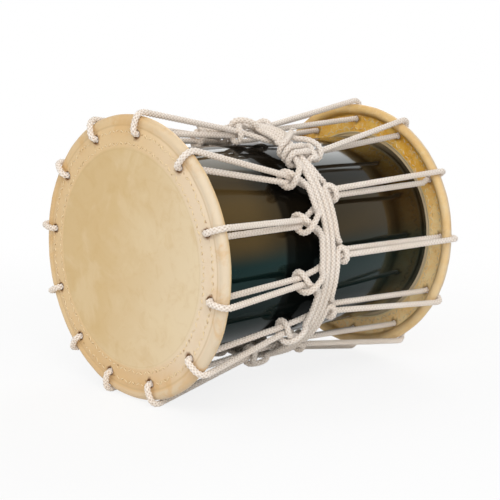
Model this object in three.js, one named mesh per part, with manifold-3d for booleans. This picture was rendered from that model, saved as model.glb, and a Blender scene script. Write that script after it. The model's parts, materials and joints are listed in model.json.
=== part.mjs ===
// Rope-laced barrel drum lying on its side: a lacquered stave body between two hide heads, each head
// lapped and sewn round an iron ring that is wider than the body. One rope laces the heads together
// and a second cord is wound round the waist, hitched to every pair of lacing legs.
// Millimetres, +Z up. The drum's axis is Y, the front head faces -Y, and the floor is z = 0.
import * as THREE from "three";
import { mergeVertices } from "three/addons/utils/BufferGeometryUtils.js";
import Module from "manifold-3d";

// Gap between pieces that touch
const SEAT = 0.3;

// Stave body
const BODY_DIAMETER = 259;
const BODY_LENGTH = 416.8;
const STAVE_COUNT = 12;
const STAVE_THICKNESS = 14;
const STAVE_FACETS = 4;

// Heads
const HEAD_DIAMETER = 350;
const RING_ROD_DIAMETER = 10;
const HIDE_THICKNESS = 1.3;
const RIM_SETBACK = 1.6;
const FLAP_CLEARANCE = 6.5;
const FLAP_FOLD_GAP = 0.4;
const BEARING_LAND = 3;
const HEAD_SEGMENTS = 48;
const RIM_STEP_DEGREES = 30;
const RIM_TUCK_DEGREES = -150;

// Rope and its holes
const ROPE_DIAMETER = 8.4;
const ROPE_SIDES = 6;
const ROPE_GAP = 0.45;
const ROPE_HOLE_CLEARANCE = 0.5;
const ROPE_HOLE_SIDES = 8;
const ROPE_HOLE_INSET = 21;
const ROPE_BEND_RADIUS = 5;
const ROPE_RIM_CLEARANCE = 0.55;
const RIM_WRAP_STEPS = 3;

// Rope holes as punched by hand, in degrees from the top towards +X
const FRONT_HOLES = [8, 40, 72, 101, 132, 165, 195, 222, 249, 278, 307, 337];
const REAR_HOLE_STEP = 30;

// Waist cord: four turns side by side, hitched to the pairs in front and behind
const BAND_TURNS = 4;
const BAND_TURN_GAP = 0.6;
const BAND_CENTRE = -9.5;
const BAND_START_ANGLE = 14;
const BAND_START_TRIM = 13;
const BAND_STEP_DEGREES = 10;
const FRONT_HITCH_REACH = 31;
const REAR_HITCH_REACH = 11.5;

// How far each front hitch, tied by hand, stands off its hole round the drum, in degrees, and its
// share of the usual reach
const FRONT_HITCH_SHIFTS = [0, 10, 1, 0, -2, -2, -1, 0, 1, 1, 1, 0];
const FRONT_HITCH_SHARES = [1, 0.9, 1, 1.1, 1.1, 1.05, 1, 0.95, 1, 1, 1.05, 0.95];

// Collar over the band between the second front hitch and a rear pair that is tied in further back
const COLLAR_TURNS = 3;
const COLLAR_ANGLE = 42;
const COLLAR_PAIR = 1;
const COLLAR_PAIR_ANGLE = 35;
const COLLAR_PAIR_REACH = 30;
const TAIL_RISE = 5;
const TAIL_LENGTH = 20;

// Sizes worked out from the ones above
const bodyRadius = BODY_DIAMETER / 2;
const ropeRadius = ROPE_DIAMETER / 2;
const lay = ROPE_DIAMETER + ROPE_GAP;
const headFace = BODY_LENGTH / 2 + SEAT + HIDE_THICKNESS;
const rimInner = RING_ROD_DIAMETER / 2 + SEAT;
const rimOuter = rimInner + HIDE_THICKNESS;
const ringRadius = HEAD_DIAMETER / 2 - rimOuter;
const ringPlane = headFace - RIM_SETBACK - rimOuter;
const holeRadius = HEAD_DIAMETER / 2 - ROPE_HOLE_INSET;
const flapEdge = bodyRadius + FLAP_CLEARANCE;
const bearingEdge = bodyRadius + BEARING_LAND;
const lowerLayer = bodyRadius + SEAT + ropeRadius;
const upperLayer = lowerLayer + lay;
const bandRadius = (upperLayer + lay) / Math.cos(THREE.MathUtils.degToRad(BAND_STEP_DEGREES / 2));
const pairRadius = lowerLayer + 1.45 * lay;
const pairOffset = 0.355 * lay;
const pairSpread = THREE.MathUtils.radToDeg(pairOffset / pairRadius);
const bandPitch = ROPE_DIAMETER + BAND_TURN_GAP;
const bandStart = BAND_CENTRE - (BAND_TURNS * bandPitch) / 2;

const lacquer = new THREE.MeshStandardMaterial({ color: 0x120d0a, roughness: 0.12, metalness: 0 });
const iron = new THREE.MeshStandardMaterial({ color: 0x3a3a3a, roughness: 0.6, metalness: 1 });
const rawhide = new THREE.MeshStandardMaterial({ color: 0xd9bb84, roughness: 0.55, metalness: 0 });
const cotton = new THREE.MeshStandardMaterial({ color: 0xe9dccb, roughness: 0.9, metalness: 0 });

const wasm = await Module();
wasm.setup();

const drum = new THREE.Group();

function addPiece(name, geometry, material) {
  const piece = new THREE.Mesh(geometry, material);
  piece.name = name;
  drum.add(piece);
  return piece;
}

// A point at a radius and an angle from the top, at a place along the drum's axis
function around(radius, degrees, along) {
  const angle = THREE.MathUtils.degToRad(degrees);
  return new THREE.Vector3(radius * Math.sin(angle), along, radius * Math.cos(angle));
}

function toSolid(geometry) {
  const bare = geometry.clone();
  bare.deleteAttribute("normal");
  bare.deleteAttribute("uv");
  const merged = mergeVertices(bare, 1e-4);
  const vertProperties = new Float32Array(merged.attributes.position.array);
  const triVerts = new Uint32Array(merged.index.array);
  return new wasm.Manifold(new wasm.Mesh({ numProp: 3, vertProperties, triVerts }));
}

function toGeometry(solid) {
  const mesh = solid.getMesh();
  const geometry = new THREE.BufferGeometry();
  geometry.setAttribute("position", new THREE.BufferAttribute(new Float32Array(mesh.vertProperties), 3));
  geometry.setIndex(new THREE.BufferAttribute(new Uint32Array(mesh.triVerts), 1));
  geometry.computeVertexNormals();
  return geometry;
}

// A round rope through hand-set points: rings of the same section, carried along without twist
function ropeGeometry(path) {
  const directions = path.slice(1).map((point, i) => point.clone().sub(path[i]).normalize());
  const tangents = path.map((_, i) => {
    const before = directions[Math.max(i - 1, 0)];
    const after = directions[Math.min(i, directions.length - 1)];
    return before.clone().add(after).normalize();
  });
  const axisSide = new THREE.Vector3(path[0].z, 0, -path[0].x).normalize();
  const positions = [];
  let normal = axisSide;
  if (Math.abs(normal.dot(tangents[0])) > 0.8) normal = new THREE.Vector3(0, 1, 0);
  path.forEach((point, i) => {
    const tangent = tangents[i];
    normal = normal.clone().addScaledVector(tangent, -normal.dot(tangent)).normalize();
    const binormal = tangent.clone().cross(normal);
    for (let side = 0; side < ROPE_SIDES; side += 1) {
      const turn = (2 * Math.PI * side) / ROPE_SIDES;
      const vertex = point.clone();
      vertex.addScaledVector(normal, ropeRadius * Math.cos(turn));
      vertex.addScaledVector(binormal, ropeRadius * Math.sin(turn));
      positions.push(vertex.x, vertex.y, vertex.z);
    }
  });
  const index = [];
  for (let ring = 0; ring < path.length - 1; ring += 1) {
    for (let side = 0; side < ROPE_SIDES; side += 1) {
      const a = ring * ROPE_SIDES + side;
      const b = ring * ROPE_SIDES + ((side + 1) % ROPE_SIDES);
      const c = a + ROPE_SIDES;
      const d = b + ROPE_SIDES;
      index.push(a, b, c, b, d, c);
    }
  }
  const last = (path.length - 1) * ROPE_SIDES;
  for (let side = 1; side < ROPE_SIDES - 1; side += 1) {
    index.push(0, side + 1, side);
    index.push(last, last + side, last + side + 1);
  }
  const geometry = new THREE.BufferGeometry();
  geometry.setAttribute("position", new THREE.Float32BufferAttribute(positions, 3));
  geometry.setIndex(index);
  geometry.computeVertexNormals();
  return geometry;
}

// Least gap of a rope to itself, between stretches further apart along it than one turn of a hitch
function leastGap(path) {
  const samples = [];
  let travelled = 0;
  path.slice(1).forEach((point, i) => {
    const start = path[i];
    const length = start.distanceTo(point);
    const count = Math.max(1, Math.ceil(length));
    for (let step = 0; step < count; step += 1) {
      const place = start.clone().lerp(point, step / count);
      samples.push({ place, at: travelled + (length * step) / count });
    }
    travelled += length;
  });
  let least = Infinity;
  samples.forEach((one, i) => {
    for (let j = i + 1; j < samples.length; j += 1) {
      if (samples[j].at - one.at > 2.5 * ROPE_DIAMETER) {
        least = Math.min(least, one.place.distanceTo(samples[j].place) - ROPE_DIAMETER);
      }
    }
  });
  return { least, travelled };
}

// Stave body

function staveGeometry() {
  const half = Math.PI / STAVE_COUNT;
  const inner = bodyRadius - STAVE_THICKNESS;
  const outerHalf = half - Math.asin(SEAT / 2 / bodyRadius);
  const innerHalf = half - Math.asin(SEAT / 2 / inner);
  const points = [];
  for (let i = 0; i <= STAVE_FACETS; i += 1) {
    const angle = outerHalf * ((2 * i) / STAVE_FACETS - 1);
    points.push(new THREE.Vector2(bodyRadius * Math.sin(angle), bodyRadius * Math.cos(angle)));
  }
  for (let i = STAVE_FACETS; i >= 0; i -= 1) {
    const angle = innerHalf * ((2 * i) / STAVE_FACETS - 1);
    points.push(new THREE.Vector2(inner * Math.sin(angle), inner * Math.cos(angle)));
  }
  const outline = new THREE.Shape(points);
  const geometry = new THREE.ExtrudeGeometry(outline, { depth: BODY_LENGTH, bevelEnabled: false });
  geometry.rotateX(Math.PI / 2);
  geometry.translate(0, BODY_LENGTH / 2, 0);
  return geometry;
}

for (let i = 0; i < STAVE_COUNT; i += 1) {
  const stave = addPiece(`body_stave_${String(i + 1).padStart(2, "0")}`, staveGeometry(), lacquer);
  stave.rotation.y = (2 * Math.PI * i) / STAVE_COUNT;
}

// Heads

// Depth of the membrane's inner face under the lap, where it leans back to the ring
function membraneInner(radius) {
  const run = (radius - bearingEdge) / (ringRadius - bearingEdge);
  return headFace - HIDE_THICKNESS - RIM_SETBACK * Math.max(run, 0);
}

function rimArc(radius) {
  const arc = [];
  for (let degrees = 90; degrees >= RIM_TUCK_DEGREES; degrees -= RIM_STEP_DEGREES) {
    const angle = THREE.MathUtils.degToRad(degrees);
    arc.push(new THREE.Vector2(ringRadius + radius * Math.cos(angle), ringPlane + radius * Math.sin(angle)));
  }
  return arc;
}

// Turns a closed outline round the axis; side is -1 for the front head and 1 for the rear one
function turned(outline, side) {
  const points = outline.map((point) => new THREE.Vector2(point.x, point.y * side));
  if (side < 0) points.reverse();
  points.push(points[0].clone());
  return new THREE.LatheGeometry(points, HEAD_SEGMENTS);
}

function hideGeometry(side, holes) {
  const flapStart = holeRadius + ropeRadius + 2 * ROPE_HOLE_CLEARANCE;
  const flapFront = (radius) => membraneInner(radius) - FLAP_FOLD_GAP;
  const outline = [
    new THREE.Vector2(0, headFace - HIDE_THICKNESS),
    new THREE.Vector2(bearingEdge, headFace - HIDE_THICKNESS),
    ...rimArc(rimInner),
    new THREE.Vector2(flapStart + HIDE_THICKNESS, flapFront(flapStart + HIDE_THICKNESS)),
    new THREE.Vector2(flapEdge, flapFront(flapEdge)),
    new THREE.Vector2(flapEdge, flapFront(flapEdge) - HIDE_THICKNESS),
    new THREE.Vector2(flapStart, flapFront(flapStart) - HIDE_THICKNESS),
    ...rimArc(rimOuter).reverse(),
    new THREE.Vector2(bearingEdge, headFace),
    new THREE.Vector2(0, headFace),
  ];
  let hide = toSolid(turned(outline, side));
  const punch = ropeRadius + ROPE_HOLE_CLEARANCE;
  for (const degrees of holes) {
    const cutter = new THREE.CylinderGeometry(punch, punch, 4 * rimOuter, ROPE_HOLE_SIDES);
    const place = around(holeRadius, degrees, side * headFace);
    cutter.translate(place.x, place.y, place.z);
    hide = hide.subtract(toSolid(cutter));
  }
  return toGeometry(hide);
}

function ringGeometry(side) {
  const outline = [];
  for (let i = 0; i < 6; i += 1) {
    const angle = (i * Math.PI) / 3;
    const reach = RING_ROD_DIAMETER / 2;
    outline.push(new THREE.Vector2(ringRadius + reach * Math.cos(angle), ringPlane + reach * Math.sin(angle)));
  }
  return turned(outline, side);
}

const rearHoles = FRONT_HOLES.map((_, i) => i * REAR_HOLE_STEP);
addPiece("front_head_hide", hideGeometry(-1, FRONT_HOLES), rawhide);
addPiece("rear_head_hide", hideGeometry(1, rearHoles), rawhide);
addPiece("front_head_ring", ringGeometry(-1), iron);
addPiece("rear_head_ring", ringGeometry(1), iron);

// Waist band places: the cord climbs one pitch in each turn

function bandAlong(travel) {
  return bandStart + (bandPitch * travel) / 360;
}

function travelTo(degrees) {
  return THREE.MathUtils.euclideanModulo(degrees - BAND_START_ANGLE, 360);
}

function frontAngle(pair) {
  return FRONT_HOLES[pair] + FRONT_HITCH_SHIFTS[pair];
}

function frontReach(pair) {
  return FRONT_HITCH_REACH * FRONT_HITCH_SHARES[pair];
}

function frontGather(pair) {
  return bandAlong(travelTo(frontAngle(pair))) - frontReach(pair);
}

// The rear pairs are counted on past the first round, so that a leg to the next pair never turns back
function rearAngle(pair) {
  return pair === COLLAR_PAIR ? COLLAR_PAIR_ANGLE : pair * REAR_HOLE_STEP;
}

function rearGather(pair) {
  const reach = pair === COLLAR_PAIR ? COLLAR_PAIR_REACH : REAR_HITCH_REACH;
  return bandAlong(360 * (BAND_TURNS - 1) + travelTo(rearAngle(pair))) + reach;
}

// Lacing: legs run from a front pair to a rear pair under the band

// Stations of one leg, from its front hitch to its rear hitch. In each pair the leg from the hole lies
// against the body and the leg from over the rim lies beside it and higher.
function legStations(front, rear) {
  const towards = rear > front ? 1 : -1;
  const startAngle = frontAngle(front) + towards * pairSpread;
  const endAngle = rearAngle(rear) - towards * pairSpread;
  const start = frontGather(front);
  const end = rearGather(rear);
  const collarLeg = rear === COLLAR_PAIR && towards < 0;
  const layer = collarLeg ? lowerLayer : upperLayer;
  const [rearEdge, rearSwing] = collarLeg ? [0.78, 0.82] : [0.88, 0.95];
  const at = (share, swing, radius) => {
    const angle = THREE.MathUtils.lerp(startAngle, endAngle, swing);
    return around(radius, angle, THREE.MathUtils.lerp(start, end, share));
  };
  return [
    at(0, 0, pairRadius + towards * pairOffset),
    at(0.4, 0.3, layer),
    at(0.62, 0.6, layer),
    at(rearEdge, rearSwing, layer),
    at(1, 1, pairRadius - towards * pairOffset),
  ];
}

// The half of a leg that belongs to a front bight or a rear bight, from the meeting place outwards
function halfLeg(front, rear, atFront) {
  const [frontHitch, frontEdge, middle, rearEdge, rearHitch] = legStations(front, rear);
  const beyond = atFront ? frontEdge : rearEdge;
  const hitch = atFront ? frontHitch : rearHitch;
  const towards = beyond.clone().sub(middle).normalize();
  const meeting = middle.clone().addScaledVector(towards, SEAT);
  return [meeting, beyond, hitch];
}

// The loop through a hole, across the head's face and over its rim
function headLoop(degrees, side, gather) {
  const wrap = rimOuter + ROPE_RIM_CLEARANCE + ropeRadius;
  const face = membraneInner(holeRadius) + HIDE_THICKNESS + ROPE_HOLE_CLEARANCE;
  const bendCentre = new THREE.Vector2(holeRadius + ROPE_BEND_RADIUS, face);
  const rimCentre = new THREE.Vector2(ringRadius, ringPlane);
  const profile = [new THREE.Vector2(holeRadius, face - 2 * ropeRadius)];
  for (const bend of [180, 135, 90]) {
    const angle = THREE.MathUtils.degToRad(bend);
    const arc = new THREE.Vector2(Math.cos(angle), Math.sin(angle)).multiplyScalar(ROPE_BEND_RADIUS);
    profile.push(bendCentre.clone().add(arc));
  }
  const arrive = profile[profile.length - 1].clone().sub(rimCentre);
  const leave = new THREE.Vector2(pairRadius, Math.abs(gather) * Math.sign(gather * side)).sub(rimCentre);
  const first = Math.atan2(arrive.y, arrive.x) - Math.acos(wrap / arrive.length());
  const final = Math.atan2(leave.y, leave.x) + Math.acos(wrap / leave.length());
  for (let i = 0; i <= RIM_WRAP_STEPS; i += 1) {
    const angle = THREE.MathUtils.lerp(first, final, i / RIM_WRAP_STEPS);
    const arc = new THREE.Vector2(Math.cos(angle), Math.sin(angle)).multiplyScalar(wrap);
    profile.push(rimCentre.clone().add(arc));
  }
  return profile.map((point) => around(point.x, degrees, side * point.y));
}

FRONT_HOLES.forEach((degrees, i) => {
  const path = [
    ...halfLeg(i, i, true),
    ...headLoop(degrees, -1, frontGather(i)),
    ...halfLeg(i, i + 1, true).reverse(),
  ];
  addPiece(`lacing_front_${String(i + 1).padStart(2, "0")}`, ropeGeometry(path), cotton);
});

rearHoles.forEach((degrees, i) => {
  const before = i === 0 ? FRONT_HOLES.length - 1 : i - 1;
  const path = [
    ...halfLeg(before, before + 1, false),
    ...headLoop(degrees, 1, rearGather(i)),
    ...halfLeg(i, i, false).reverse(),
  ];
  addPiece(`lacing_rear_${String(i + 1).padStart(2, "0")}`, ropeGeometry(path), cotton);
});

// Waist cord

// A half hitch round a front pair: steps along the turn, shares of the hitch's reach and steps
// outwards. A step is the distance between two touching cords. The cord leaves its turn, crosses the
// pair, goes round under it and comes back under its own crossing.
const FRONT_HITCH = [
  [-1.3, -0.06, 0.7],
  [-1, -0.27, 0.95],
  [-0.7, -0.48, 1.5],
  [-0.3, -0.68, 2.2],
  [0.35, -0.81, 2.42],
  [1.05, -0.89, 2.1],
  [1.5, -0.94, 1.15],
  [1.6, -0.97, 0.2],
  [1.24, -1, -0.57],
  [0.42, -1.02, -1.17],
  [-0.4, -1.04, -1.44],
  [-1.22, -1.05, -1.1],
  [-1.5, -1.05, -0.3],
  [-1.17, -1.03, 0.45],
  [-0.6, -0.98, 1.02],
  [0, -0.87, 1.32],
  [0.5, -0.7, 1.28],
  [0.95, -0.45, 1.05],
  [1.45, -0.14, 0.74],
];
const FRONT_HITCH_LEAD = 1.9;
const FRONT_HITCH_TAIL = 2;

// A single turn round a rear pair, close against the band
const REAR_HITCH = [
  [-2.5, 0.19, 0.6],
  [-1.95, 0.58, 0.35],
  [-1.65, 0.9, -0.2],
  [-1.33, 1.09, -1.02],
  [-0.45, 1.14, -1.44],
  [0.4, 1.14, -1.18],
  [1.15, 1.11, -0.57],
  [1.5, 1.08, 0.3],
  [1.2, 1.05, 1.12],
  [0.42, 1, 1.48],
  [-0.35, 0.95, 1.36],
  [-0.9, 0.69, 1.05],
  [-0.95, 0.25, 0.82],
  [-0.4, 0.02, 0.67],
];
const REAR_HITCH_LEAD = 3.1;
const REAR_HITCH_TAIL = 0.5;

// Once and a half round the collar's rear pair: over it, under it, over it again and on to the collar
const COLLAR_HITCH = [
  [-4.2, 0.37, 0.72],
  [-2.9, 0.58, 1],
  [-1.95, 0.84, 1.4],
  [-0.95, 1.05, 1.56],
  [0, 1.13, 1.6],
  [0.9, 1.13, 1.42],
  [1.5, 1.1, 0.6],
  [1.45, 1.08, -0.2],
  [0.6, 1.05, -1.04],
  [-0.4, 1.01, -1.44],
  [-1.35, 0.95, -1.05],
  [-1.7, 0.88, -0.2],
  [-1.25, 0.8, 0.52],
  [-0.5, 0.74, 1.15],
  [0.3, 0.7, 1.37],
  [1, 0.66, 1.18],
  [1.7, 0.63, 1.12],
  [2.3, 0.52, 1.15],
];
const COLLAR_HITCH_LEAD = 5.2;

function degreesFor(steps) {
  return THREE.MathUtils.radToDeg((steps * lay) / pairRadius);
}

function bandPoint(travel) {
  return around(bandRadius, BAND_START_ANGLE + travel, bandAlong(travel));
}

function bandRun(from, to) {
  const count = Math.max(1, Math.ceil((to - from) / BAND_STEP_DEGREES));
  return Array.from({ length: count + 1 }, (_, i) => bandPoint(from + ((to - from) * i) / count));
}

function hitchRun(steps, travel, reach) {
  return steps.map(([turn, share, out]) => {
    const radius = pairRadius + out * lay;
    const degrees = BAND_START_ANGLE + travel + degreesFor(turn);
    return around(radius, degrees, bandAlong(travel) + share * reach);
  });
}

// Turns round the whole band that bind its end, back towards its start, then the tail over the band
function collarRun() {
  const first = bandAlong(travelTo(COLLAR_ANGLE));
  const last = first + (BAND_TURNS - 1) * bandPitch;
  const corner = 0.5 * lay;
  const front = first - 1.03 * lay;
  const rear = last + 1.03 * lay;
  const outer = bandRadius + lay;
  const inner = upperLayer;
  const loop = [
    [rear, outer - corner],
    [rear, inner + corner],
    [rear - corner, inner],
    [front + corner, inner],
    [front, inner + corner],
    [front, outer - corner],
    [front + corner, outer],
    [rear - corner, outer],
  ];
  const advance = degreesFor(1.04) * (pairRadius / upperLayer);
  const path = [];
  for (let turn = 0; turn < COLLAR_TURNS; turn += 1) {
    loop.forEach(([along, radius], i) => {
      path.push(around(radius, COLLAR_ANGLE - advance * (turn + i / loop.length), along));
    });
  }
  path.pop();
  const end = COLLAR_ANGLE - advance * COLLAR_TURNS;
  path.push(around(outer, end - advance, last));
  path.push(around(outer + TAIL_RISE, end - 2 * advance, last + TAIL_LENGTH));
  return path;
}

function waistCordPath() {
  const path = [];
  let travel = BAND_START_TRIM;
  const hitches = FRONT_HOLES.map((_, i) => ({ place: travelTo(frontAngle(i)), reach: frontReach(i) }));
  hitches.sort((a, b) => a.place - b.place);
  for (const { place, reach } of hitches) {
    path.push(...bandRun(travel, place - degreesFor(FRONT_HITCH_LEAD)));
    path.push(...hitchRun(FRONT_HITCH, place, reach));
    travel = place + degreesFor(FRONT_HITCH_TAIL);
  }
  const lastTurn = 360 * (BAND_TURNS - 1);
  const rearPairs = rearHoles.filter((_, i) => i !== COLLAR_PAIR).map(travelTo).sort((a, b) => a - b);
  for (const pair of rearPairs) {
    const place = lastTurn + pair;
    path.push(...bandRun(travel, place - degreesFor(REAR_HITCH_LEAD)));
    path.push(...hitchRun(REAR_HITCH, place, REAR_HITCH_REACH));
    travel = place + degreesFor(REAR_HITCH_TAIL);
  }
  const collarPair = travelTo(COLLAR_PAIR_ANGLE);
  path.push(...bandRun(travel, 360 * BAND_TURNS + collarPair - degreesFor(COLLAR_HITCH_LEAD)));
  path.push(...hitchRun(COLLAR_HITCH, lastTurn + collarPair, COLLAR_PAIR_REACH), ...collarRun());
  return path;
}

const waistCord = waistCordPath();
const cordGap = leastGap(waistCord);
console.log(`waist cord: ${(cordGap.travelled / 1000).toFixed(2)} m, least gap to itself ${cordGap.least.toFixed(2)} mm`);
addPiece("waist_cord", ropeGeometry(waistCord), cotton);

// The drum is set down so that its lowest lacing loop stands on the floor
drum.updateMatrixWorld(true);
drum.position.z = -new THREE.Box3().setFromObject(drum, true).min.z;

export default drum;
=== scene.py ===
import json
import math

import bpy
import numpy as np
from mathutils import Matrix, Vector
from mathutils.kdtree import KDTree

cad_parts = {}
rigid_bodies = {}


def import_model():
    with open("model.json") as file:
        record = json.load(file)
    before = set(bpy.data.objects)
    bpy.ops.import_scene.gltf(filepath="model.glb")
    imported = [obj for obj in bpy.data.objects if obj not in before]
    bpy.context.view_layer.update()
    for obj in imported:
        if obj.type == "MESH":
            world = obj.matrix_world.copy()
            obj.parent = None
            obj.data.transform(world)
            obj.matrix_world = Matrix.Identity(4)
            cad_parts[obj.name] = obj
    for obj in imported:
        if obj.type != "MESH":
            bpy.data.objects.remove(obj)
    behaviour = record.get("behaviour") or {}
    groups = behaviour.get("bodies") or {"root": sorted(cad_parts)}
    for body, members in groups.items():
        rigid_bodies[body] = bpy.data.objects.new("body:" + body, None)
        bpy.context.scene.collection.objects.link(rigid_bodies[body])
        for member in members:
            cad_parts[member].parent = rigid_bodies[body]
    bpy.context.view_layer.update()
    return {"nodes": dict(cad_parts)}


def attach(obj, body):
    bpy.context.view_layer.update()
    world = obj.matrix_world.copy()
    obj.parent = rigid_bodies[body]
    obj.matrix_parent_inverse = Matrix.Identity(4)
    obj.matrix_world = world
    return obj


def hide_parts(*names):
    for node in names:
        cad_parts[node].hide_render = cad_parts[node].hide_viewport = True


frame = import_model()

# Sizes in millimetres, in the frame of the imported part: axis along Y, front head facing -Y
MM = 0.001
AXIS_HEIGHT = 183.36

# Body
BODY_RADIUS = 129.5
BODY_LENGTH = 416.8
BODY_WALL = 14
BODY_EDGE = 1.5
BODY_SIDES = 192
BODY_SMOOTH = 35
STAVES = 12

# Heads: hide drawn over the body's edge, lapped round a ring and folded in behind; heights are from the
# drum's middle
HEAD_FACE = 210
HEAD_SIDES = 192
HEAD_SMOOTH = 38
HIDE = 1.3
BEARING_EDGE = 132.5
RIM_SETBACK = 1.6
RING_RADIUS = 168.4
RING_PLANE = 201.8
RIM_RADIUS = 6.6
VALLEY_RADIUS = 161.5
VALLEY_WIDTH = 3.2
VALLEY_DEPTH = 0.8
FLAP_EDGE = 133.4
FLAP_HEIGHT = 207.4
FLAP_GAP = 0.45
FLAP_BACK = 2 * HIDE + 0.5
HEM_SWELL = 1.5
HEM_SWELL_SPAN = 34
SWELL_FROM = 145
SWELL_OVER = 20

# Amber of the flap and of the hem's back, and where each fades
AMBER_FADE = 0.6
AMBER_INWARDS = 0.8
HEM_AMBER = 0.7
HEM_AMBER_FROM = 1.5
HEM_AMBER_FADE = 4.5

# Rope holes: tight round the rope, worn wider at the face, with their angles from the top
HOLE_CIRCLE = 154
HOLE_RADIUS = 4.25
HOLE_DEPTH = 10
HOLE_SIDES = 20
WORN_CIRCLE = 153.1
WORN_RADIUS = 5.6
WORN_DEPTH = 1.9
STAIN_FADE = 1.2
CUTTER_LENGTH = 20
FRONT_HOLES = [8, 40, 72, 101, 132, 165, 195, 222, 249, 278, 307, 337]
REAR_STEP = 30
REAR_HOLES = [REAR_STEP * i for i in range(12)]

# Stitches that hold the laps: radius and number in each row, then the size of one and how it strays
STITCH_ROWS = ((140, 112), (154.8, 124))
STITCH_SLANT = 32
STITCH_REACH = 0.42
STITCH_HALF_WIDTH = 0.75
STITCH_HALF_HEIGHT = 0.6
STITCH_PROUD = 0.15
STITCH_STRAY = 5
STITCH_STRAY_SPANS = (("X", 13), ("Y", 17))
STITCH_CLEARANCE = 8

# Plaited cotton cord
ROPE_RADIUS = 4.2
PLAIT_STRANDS = 4
PLAIT_PITCH = 20
PLAIT_STEPS = 16
PLAIT_STEP = PLAIT_PITCH / PLAIT_STEPS
STRAND_RADIUS = 1.56
STRAND_MIDDLE = 2.05
STRAND_WEAVE = 0.62
CREVICE_SHADE_FROM = 0.4
CREVICE_SHADE_FADE = 1.5
FRAYED_STEPS = 9
FRAYED_SPREAD = 1.1
FRAYED_THINNING = 0.45
LONG_SPAN = 16
STRAIGHT_ENDS = 6
CURVE_SAMPLES = 8

# Layers of rope on the body: two that touch are a lay apart, middle to middle
LAY = 8.85
LOWER_LAYER = 134.0
UPPER_LAYER = 142.85
BAND_RADIUS = 152.28

# Lacing: the ropes of a pair lie one over the other and a little aside
PAIR_RADIUS = 146.83
PAIR_OFFSET = 0.355 * LAY
PAIR_SPREAD = math.degrees(PAIR_OFFSET / PAIR_RADIUS)
FACE_CLEARANCE = 0.5
RIM_CLEARANCE = 0.55
HOLE_BEND = 5
RIM_STATIONS = 6

# Pairs whose ropes change places at the hitch, the layers in which one passes under the other, and the
# degrees by which a rope leans aside behind its hole
CROSSED_FRONT_PAIRS = (1, 2)
CROSSED_REAR_PAIRS = (2,)
FRONT_CROSSING_LAYER = LOWER_LAYER + 2
REAR_CROSSING_LAYER = LOWER_LAYER + 1
FRONT_LEANS = {2: 2.4}
REAR_LEANS = {2: 1.4}
LEAN_DEPTH = 11
LEAN_INWARDS = 1

# Band of the waist cord
BAND_TURNS = 4
BAND_PITCH = 9.0
BAND_START = -27.5
BAND_START_ANGLE = 14
BAND_START_TRIM = 13
BAND_STATION = 5
LAST_TURN = 360 * (BAND_TURNS - 1)
HALF_BAND = (BAND_TURNS - 1) / 2

# Hitches: how far they reach from the band, and for each front pair the degrees it is drawn aside, its
# share of the reach and how much of its arch stands above the crossing
HITCH_SNUG = 0.85
HITCH_CROSSING = 1.32
FRONT_HITCH_REACH = 27
FRONT_HITCH_SHIFTS = [0, 10, 1, 0, -2, -2, -1, 0, 1, 1, 1, 0]
FRONT_HITCH_SHARES = [1.1, 0.9, 1, 1.1, 1.1, 0.8, 0.85, 0.95, 1, 1, 1.05, 0.95]
FRONT_HITCH_RISES = [0.8, 1, 1, 1, 0.9, 0.4, 0.4, 0.5, 0.9, 1, 1, 1]
REVERSED_HITCH = 0
REAR_HITCH_REACH = 11.5

# Widths of cord that the band leaves free before and after a hitch
FRONT_HITCH_ROOM = (1.9, 2)
REAR_HITCH_ROOM = (3.1, 0.5)
COLLAR_HITCH_ROOM = 5.2

# Collar that binds the band, and the rear pair beside it
COLLAR_ANGLE = 42
COLLAR_TURNS = 3
COLLAR_ADVANCE = 1.04
COLLAR_GRIP = 0.92
COLLAR_MIDDLE = 37
COLLAR_SPREAD = 10
COLLAR_SQUEEZE = 0.42
COLLAR_RIDE = 1.8
COLLAR_PAIR = 1
COLLAR_PAIR_ANGLE = 35
COLLAR_PAIR_REACH = 30
TAIL_RISE = 2
TAIL_LENGTH = 15

# Studio, in metres and degrees
FLOOR_RADIUS = 1.6
FLOOR_SOLID = 0.45
FLOOR_GONE = 1.25
FLOOR_WHITE = 0.86
FLOOR_GLOW = 0.85
WORLD_LIGHT = 0.42
CAMERA_PLACE = (1.12600, -1.07408, 0.24757)
CAMERA_TILT = 9.511
CAMERA_TURN = 46.466
CAMERA_FIELD = 23.915


def drop_selection():
    """Leaves edit mode and deselects everything."""
    if bpy.context.object and bpy.context.object.mode != "OBJECT":
        bpy.ops.object.mode_set(mode="OBJECT")
    bpy.ops.object.select_all(action="DESELECT")


def pick(piece):
    """Selects one piece and nothing else."""
    drop_selection()
    piece.select_set(True)
    bpy.context.view_layer.objects.active = piece


def join_up(pieces):
    """Makes one object of several."""
    drop_selection()
    for piece in pieces:
        piece.select_set(True)
    bpy.context.view_layer.objects.active = pieces[0]
    bpy.ops.object.join()
    return bpy.context.object


def settle(piece):
    """Leaves the piece's place in its mesh and its object at the origin."""
    pick(piece)
    bpy.ops.object.transform_apply(location=True, rotation=True, scale=True)


def finish_piece(piece, name, material, slot, *nodes):
    """Names the piece, gives it its material, hangs it on the drum's body and hides the frame's parts that
    it stands for.
    """
    piece.name = name
    piece.data.name = name
    piece.data.materials.clear()
    piece.data.materials.append(material)
    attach(piece, "root")
    if nodes:
        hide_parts(*nodes)


def around(radius, degrees, along):
    """A place at a radius from the drum's axis, at degrees from the top, along the axis."""
    angle = math.radians(degrees)
    return Vector((radius * math.sin(angle), along, AXIS_HEIGHT + radius * math.cos(angle))) * MM


# Materials, with distances in metres and angles in radians

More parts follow.
